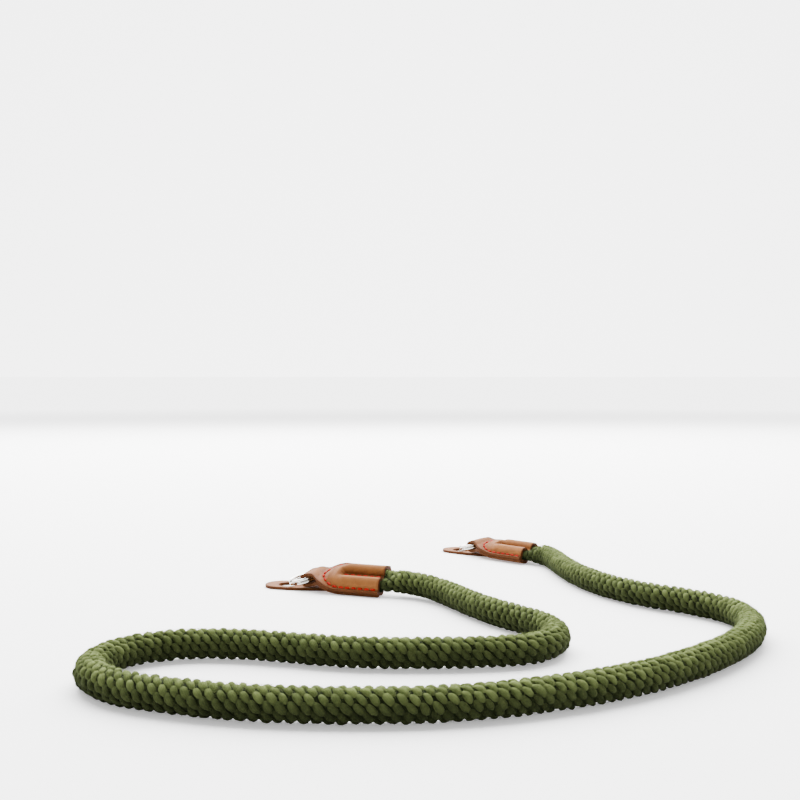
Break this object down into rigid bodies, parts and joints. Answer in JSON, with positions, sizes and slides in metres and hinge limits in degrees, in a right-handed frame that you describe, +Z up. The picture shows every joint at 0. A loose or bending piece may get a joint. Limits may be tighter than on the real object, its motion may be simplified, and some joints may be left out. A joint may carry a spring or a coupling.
{
  "type": "camera neck strap",
  "caption": "Soft round cotton rope neck strap with sewn leather tabs, split rings and leather guards, laid out loosely on a surface.",
  "frame": {"origin": "on the surface the strap lies on, under the middle of the box round its two ends (tabs, rings and guards)", "axes": "+Z up from the surface; +Y from the rope's front stretch towards the ends; +X to the right of someone looking along +Y"},
  "size_m": [0.2801, 0.3611, 0.0144],
  "materials": {
    "cotton_rope": "soft matt solid-braided cotton, olive green",
    "tan_leather": "fine-grained matt tan leather with darker raw edges",
    "ring_metal": "polished nickel plate",
    "thread": "thick waxed red sewing thread"
  },
  "bodies": {
    "root": {"rope": "cotton_rope", "tab_near": "tan_leather", "ring_near": "ring_metal", "guard_near": "tan_leather", "tab_far": "tan_leather", "ring_far": "ring_metal", "guard_far": "tan_leather"}
  },
  "joints": []
}
